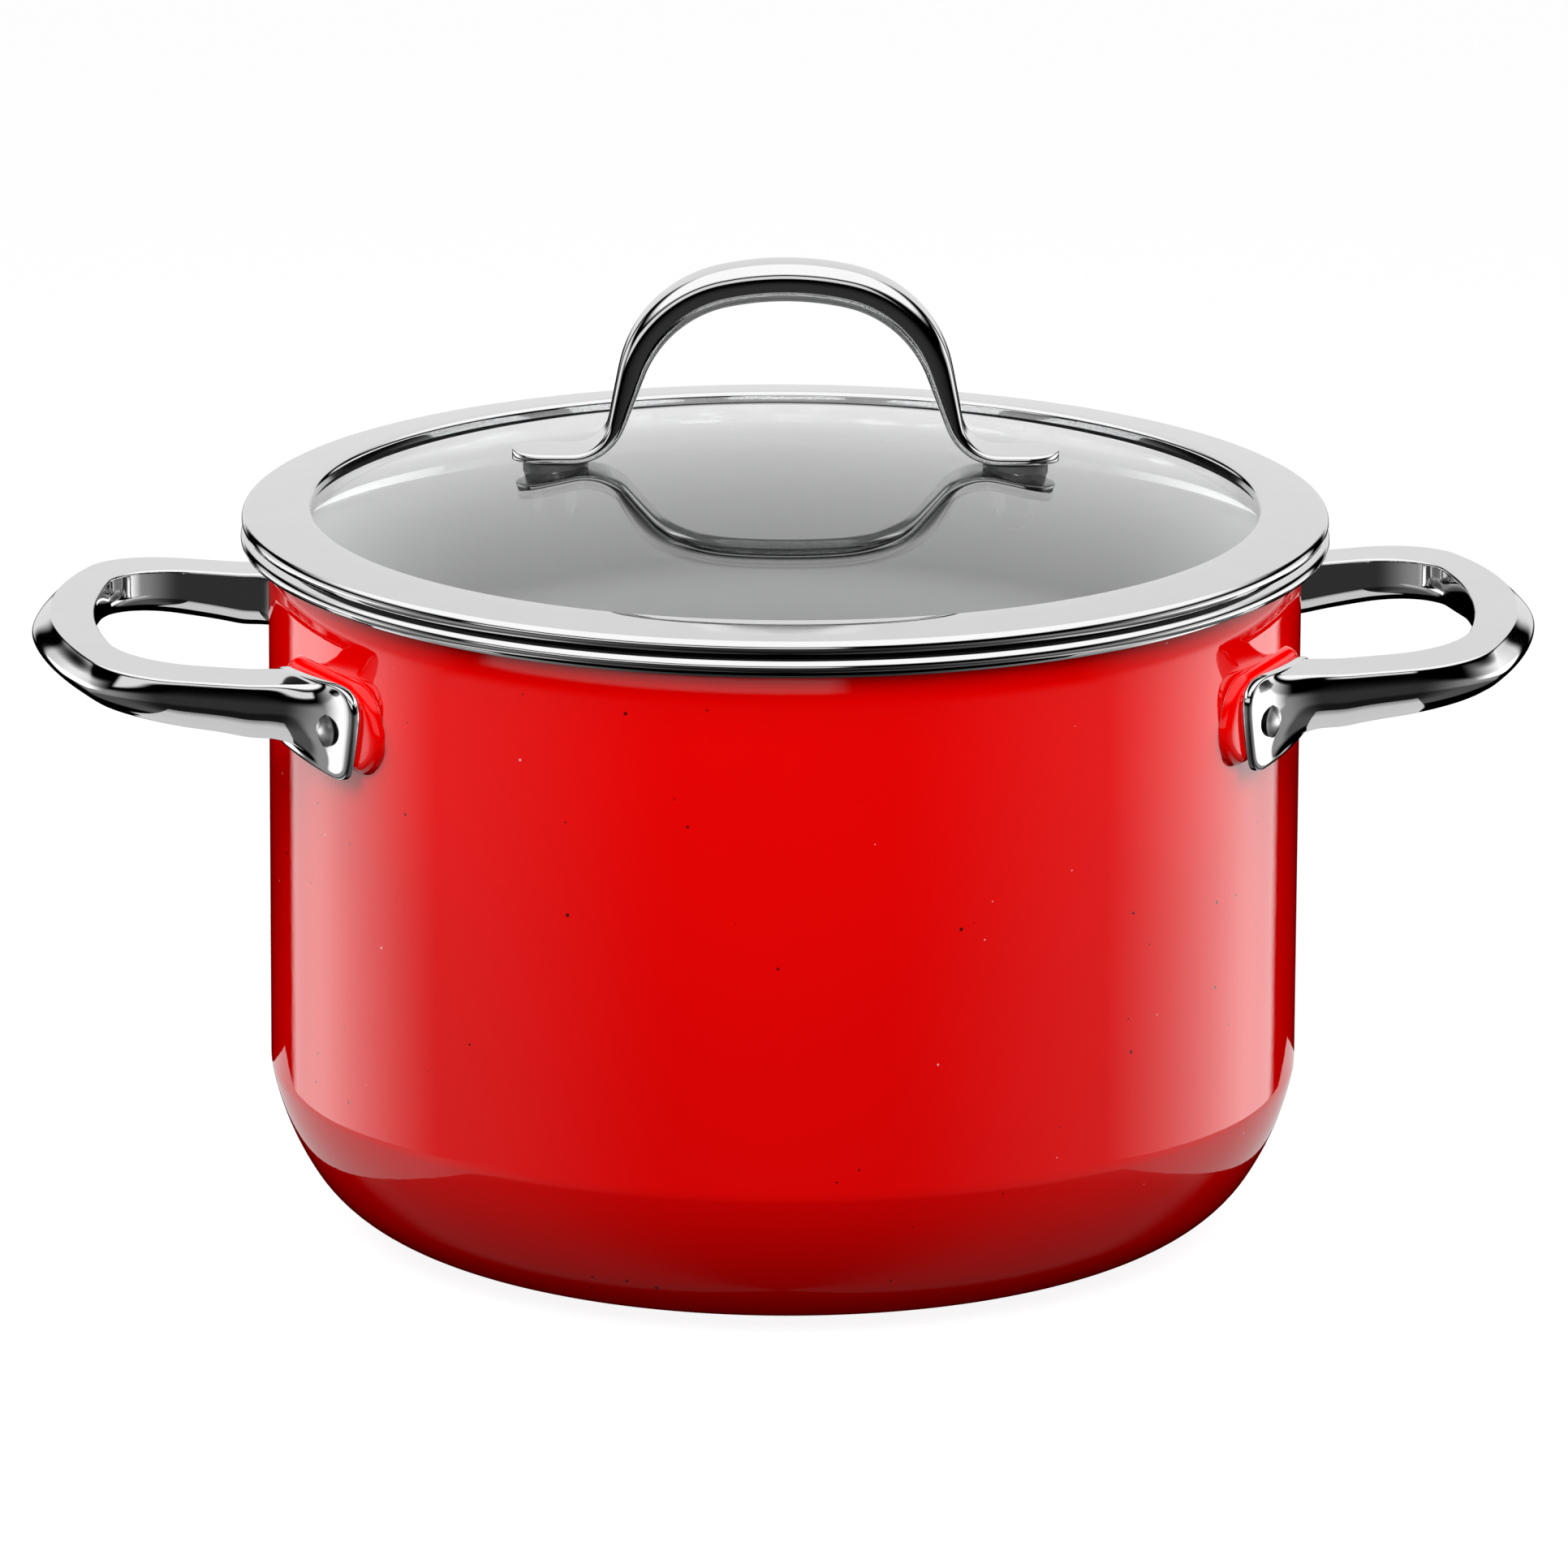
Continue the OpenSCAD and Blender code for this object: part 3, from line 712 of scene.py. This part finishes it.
def foot_ring(r, side, size=1.0):
    """Ring of a foot at the radius r, drawn in towards its middle by size."""
    ring = []
    for s, up in foot_outline():
        b = mix(bracket_bearing, math.degrees(s / foot_face), size)
        ring.append((r * math.cos(deg(b)), side * r * math.sin(deg(b)),
                     loop_z + mix(rivet_z - loop_z, up, size)))
    return ring


# %% Rings of half a loop, from a foot to the far end
def flare_ring(bar, foot, a):
    """A ring of the trumpet: on the bar at 0 degrees, on the plate's round face at 90."""
    down, out = math.sin(deg(a)) ** (2 / 3), 1 - math.cos(deg(a)) ** (2 / 3)
    ring = []
    for p, q in zip(bar, foot):
        y = mix(p[1], q[1], out)
        ring.append((mix(p[0], math.sqrt(foot_face ** 2 - y * y), down), y, mix(p[2], q[2], out)))
    return ring


def half_rings(side):
    """All rings of one half of a loop."""
    rings = [foot_ring(foot_back, side, size) for size in (0.3, 0.7, 0.97, 0.995)]
    rings += [foot_ring(foot_back + 0.2, side), foot_ring(foot_face - 0.35, side)]
    bar, foot = side_ring(flare_u, side), foot_ring(foot_face, side)
    rings += [flare_ring(bar, foot, 90 * (1 - k / 10)) for k in (0.15, 1, 2, 3, 4, 5, 6, 7, 8, 9, 10)]
    rings += [side_ring(flare_u + 3, side), side_ring(flare_u + 6, side)]
    for i in range(19):
        a = 90 * (1 - i / 18)
        p, q = curve_point(inner_curve, a), curve_point(outer_curve, a)
        bulge = mix(bulge_w, straight_bulge, math.sin(deg(a)))
        rings.append(bar_ring((p[0], side * p[1]), (q[0], side * q[1]), bulge, bar_depth(p[0])))
    return rings


# %% Loft the right handle and copy it to the left
loop = lofted("handle_right_loop", half_rings(-1) + half_rings(1)[-2::-1])


def copied(source, name, angle):
    """A copy with its own mesh, turned about the pot's axis and with that turn applied."""
    start_fresh()
    twin = source.copy()
    twin.data = source.data.copy()
    twin.name = twin.data.name = name
    bpy.context.scene.collection.objects.link(twin)
    twin.data.transform(Matrix.Rotation(deg(angle), 4, "Z"))
    return twin


loop_left = copied(loop, "handle_left_loop", 180)
show(loop, "pot", "handle_right", "polished_steel", bright_steel)
show(loop_left, "pot", "handle_left", "polished_steel", bright_steel)

# %% [markdown]
# ## The brackets
# Under each foot a raised pad of the same red enamel carries the rivet. Its
# edge is soft, because enamel draws back into a round.

# %% Model one bracket as a flat pad and wrap it on the wall
bracket_low = rivet_z - 8.3
pad_t, pad_round, pad_edge, pad_mid = 2.5, 8, 2.4, 9.25
pad_arcs = [(11, 10.5, 90, 22), (12, 8, 15, -85), (-11.5, 8, -90, -180), (-11.5, 10.5, -180, -270)]


def pad_ring(bearing, inset, lift, size=1.0):
    """The pad's outline, drawn in by inset and scaled by size, at a lift off the wall."""
    side = 1 if bearing > 0 else -1
    ring = []
    for x, y, start, end in pad_arcs:
        for px, py in arc(x, y, pad_round - inset, start, end, 11):
            px, py = px * size, mix(pad_mid, py, size)
            r, b = wall_r + lift, deg(bearing) + side * px / wall_r
            ring.append((r * math.cos(b), r * math.sin(b), bracket_low + py))
    return ring


def bracket_piece(name, bearing):
    """A pad of stacked rings: a straight foot, a quarter round and the even top."""
    rings = [pad_ring(bearing, 0, -0.3), pad_ring(bearing, 0, 0.3)]
    for lean in (15, 30, 45, 60, 75, 90):
        rings.append(pad_ring(bearing, pad_edge * (1 - math.cos(deg(lean))),
                              pad_t - pad_edge * (1 - math.sin(deg(lean)))))
    rings += [pad_ring(bearing, pad_edge, pad_t, size) for size in (0.93, 0.75, 0.5, 0.25, 0.08)]
    return lofted(name, rings, level=1)


for node, bearing, spin in (("bracket_right_front", -bracket_bearing, 0),
                            ("bracket_right_back", bracket_bearing, 0),
                            ("bracket_left_front", bracket_bearing, 180),
                            ("bracket_left_back", -bracket_bearing, 180)):
    pad = bracket_piece(node + "_pad", bearing)
    pad.data.transform(Matrix.Rotation(deg(spin), 4, "Z"))
    pad.visible_glossy = False
    show(pad, "pot", node, "red_enamel", red_enamel)

# %% [markdown]
# ## The rivets
# A low satin dome with a narrow flat round its foot.

# %% Turn one rivet and copy it
rivet_r, rivet_dome = 3.4, 1.1
ball = (rivet_r ** 2 + rivet_dome ** 2) / (2 * rivet_dome)
seat = foot_face + 0.7
rivet_profile = [(1.5, -4.0), (2.0, -3.9), (2.0, 0.0), (rivet_r - 0.1, 0.0), (rivet_r, 0.1)]
for i in range(1, 8):
    lean = math.asin(rivet_r / ball) * (1 - i / 8)
    rivet_profile.append((ball * math.sin(lean), rivet_dome - ball + ball * math.cos(lean)))
rivet_start = turned("rivet", rivet_profile, closed=False, around=48, angle=30)
for node, bearing in (("rivet_right_front", -rivet_bearing), ("rivet_right_back", rivet_bearing),
                      ("rivet_left_front", 180 + rivet_bearing), ("rivet_left_back", 180 - rivet_bearing)):
    head = copied(rivet_start, node + "_head", 0)
    lay = (Matrix.Rotation(deg(bearing), 4, "Z") @ Matrix.Translation((seat * MM, 0, rivet_z * MM))
           @ Matrix.Rotation(deg(90), 4, "Y"))
    head.data.transform(lay)
    show(head, "pot", node, "fastener_steel", satin_steel)
bpy.data.objects.remove(rivet_start)

# %% [markdown]
# ## The ring of the lid
# Sheet steel is pressed round the edge of the glass: a full round outside, a
# gentle slope up to a small lip inside, and a skirt that centres the lid in
# the pot.

# %% Turn the ring
ring_low, ring_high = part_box("lid_ring")
bead_r = 1.45
bead_x = ring_high.x / MM - bead_r
lip_top = ring_high.z / MM
bead_z = lip_top - 1.2 - bead_r
ring_in_r, lip_r = 95, 0.9
sheet_t = 1.2
slope = (lip_top - bead_z - bead_r) / (bead_x - ring_in_r - lip_r)
skirt_low = ring_low.z / MM
seat_z = skirt_low + 6
skirt_t, seat_out, seat_in = 0.8, 3.4, 2.4
skirt_r = bore_r - skin - 0.7


def sheet_low(r):
    """Height of the underside of the sheet at the radius r."""
    return lip_top - sheet_t - slope * (r - ring_in_r - lip_r)


ring_profile = [(ring_in_r, lip_top - 2)]
ring_profile += arc(ring_in_r + lip_r, lip_top - lip_r, lip_r, 180, 92, 8)
ring_profile += [(ring_in_r + 4, lip_top - slope * 3.1), (bead_x - 4, bead_z + bead_r + slope * 4)]
ring_profile += arc(bead_x, bead_z, bead_r, 86, -90, 18)
ring_profile += [(bead_x - 1.2, bead_z - bead_r + 0.5), (bead_x - 2, sheet_low(bead_x - 2)),
                 (skirt_r + seat_out, sheet_low(skirt_r + seat_out)), (skirt_r + seat_out, seat_z),
                 (skirt_r, seat_z),
                 (skirt_r, skirt_low), (skirt_r - skirt_t, skirt_low), (skirt_r - skirt_t, seat_z + 1),
                 (skirt_r + seat_in, seat_z + 1), (skirt_r + seat_in, sheet_low(skirt_r + seat_in)),
                 (ring_in_r + 1.5, sheet_low(ring_in_r + 1.5)), (ring_in_r + 1.2, lip_top - 2.2)]
lid_band = turned("lid_ring_band", ring_profile, angle=32)
lid_band.visible_glossy = False
show(lid_band, "lid", "lid_ring", "polished_steel", bright_steel)

# %% [markdown]
# ## The glass
# A shallow dome of even thickness, with a hole for each bush.

# %% Turn the glass and drill it
glass_t, dome_h = 4, 12.4
dome_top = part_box("lid_glass")[1].z / MM
dome_r = (ring_in_r ** 2 + dome_h ** 2) / (2 * dome_h)
dome_c = dome_top - dome_r
glass_r = skirt_r - skirt_t - 0.7
stud_x = 46
lid_turn = -3


def dome_arc(r, from_x, to_x, count):
    """Points of a dome of radius r, from one distance off the axis to another."""
    steps = [mix(from_x, to_x, i / count) for i in range(count + 1)]
    return [(x, dome_c + math.sqrt(r * r - x * x)) for x in steps]


centre_r, edge_in = 2, 0.3
glass_profile = dome_arc(dome_r - glass_t, centre_r, glass_r - edge_in, 40)
glass_profile += dome_arc(dome_r, glass_r, centre_r, 40)
dome = turned("lid_glass_dome", glass_profile, closed=False, around=192, angle=40)
start_fresh()
hole_r, drill_length = 3.5, 0.03
for side in (-1, 1):
    x, y = side * stud_x * math.cos(deg(lid_turn)), side * stud_x * math.sin(deg(lid_turn))
    bpy.ops.mesh.primitive_cylinder_add(vertices=48, radius=hole_r * MM, depth=drill_length,
                                        location=(x * MM, y * MM, dome_top * MM))
    drill = bpy.context.object
    hole = dome.modifiers.new("hole", "BOOLEAN")
    hole.object = drill
    hole.operation = "DIFFERENCE"
    hole.solver = "EXACT"
    bpy.context.view_layer.objects.active = dome
    bpy.ops.object.modifier_apply(modifier="hole")
    bpy.data.objects.remove(drill)
show(dome, "lid", "lid_glass", "lid_glass", lid_clear)

# %% [markdown]
# ## The bow handle
# A flat bar bent in one piece: two round-ended tabs, an ankle, a straight
# leg, a shoulder and a long crown. The section thickens from the thin tabs
# to the crown. It is a rounded rectangle whose power says how square it is.

# %% Path of the bow
crown_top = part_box("lid_handle")[1].z / MM
tab_t, tab_w, tab_drop = 2.2, 13, 1.5
tab_mid = dome_top - tab_drop + tab_t / 2
crown_t, crown_w, crown_r, crown_half = 8, 11.5, 58.9, 12.2
crown_z = crown_top - crown_t / 2
shoulder_r, leg_slope, ankle_r = 24.3, 74.3, 9.25
crown_power, tab_power, thinning = 3.2, 5, 1.29
tab_tip = stud_x + 8.8


def bow_path():
    """Right half of the bow: distance, height and slope in degrees."""
    path = [(crown_r * math.sin(deg(a)), crown_z - crown_r * (1 - math.cos(deg(a))), a)
            for a in [crown_half * i / 5 for i in range(6)]]
    x, z, _ = path[-1]
    path += [(x + shoulder_r * (math.sin(deg(a)) - math.sin(deg(crown_half))),
              z + shoulder_r * (math.cos(deg(a)) - math.cos(deg(crown_half))), a)
             for a in [mix(crown_half, leg_slope, i / 13) for i in range(1, 14)]]
    x, z, _ = path[-1]
    drop = z - tab_mid - ankle_r * (1 - math.cos(deg(leg_slope)))
    path += [(x + drop * t / math.tan(deg(leg_slope)), z - drop * t, leg_slope)
             for t in (0.25, 0.5, 0.75, 1)]
    x, z, _ = path[-1]
    path += [(x + ankle_r * (math.sin(deg(leg_slope)) - math.sin(deg(a))),
              z - ankle_r * (math.cos(deg(a)) - math.cos(deg(leg_slope))), a)
             for a in [leg_slope * (1 - i / 9) for i in range(1, 10)]]
    x = path[-1][0]
    tip = tab_tip - tab_w / 2
    path += [(mix(x, tip, 0.5), tab_mid, 0), (tip, tab_mid, 0)]
    path += [(tip + tab_w / 2 * math.sin(deg(86 * i / 8)), tab_mid, 0) for i in range(1, 9)]
    return path


def bow_ring(p, side):
    """One ring of the bow at a path point."""
    x, z, lean = p
    f = min(1, max(0, (crown_z - z) / (crown_z - tab_mid)))
    past = max(0, x - tab_tip + tab_w / 2)
    w = mix(crown_w, tab_w, f * f) * math.sqrt(max(0, 1 - (2 * past / tab_w) ** 2))
    t = mix(crown_t, tab_t, f ** thinning)
    power = mix(crown_power, tab_power, f)
    ring = []
    for i in range(32):
        c, s = math.cos(math.tau * i / 32), math.sin(math.tau * i / 32)
        across = w / 2 * math.copysign(abs(c) ** (2 / power), c)
        out = t / 2 * math.copysign(abs(s) ** (2 / power), s)
        ring.append((side * (x + out * math.sin(deg(lean))), across, z + out * math.cos(deg(lean))))
    return ring


# %% Loft the bow
path = bow_path()
bow_rings = [bow_ring(p, 1) for p in path[:0:-1]] + [bow_ring(p, -1) for p in path]
bow = lofted("lid_bow_handle", bow_rings, level=1)
bow.data.transform(Matrix.Rotation(deg(lid_turn), 4, "Z"))
show(bow, "lid", "lid_handle", "polished_steel", bright_steel)

# %% [markdown]
# ## What stays from the CAD
# The seal, the studs, the bushes, the washers, the nuts and the spacers are
# plain turned shapes already. They keep their CAD meshes and get a finish.

# %% Dress the carried-over nodes
# the studs, washers and nuts wear steel painted near black as painted shade
carried = {"lid_seal": silicone, "lid_bush": silicone, "lid_spacer": spacer_grey,
           "lid_stud": painted_shade_steel, "lid_washer": painted_shade_steel, "lid_nut": painted_shade_steel}
for node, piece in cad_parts.items():
    for start, material in carried.items():
        if node.startswith(start):
            piece.data.materials.clear()
            piece.data.materials.append(material)
            print(node, "wears", material.name)
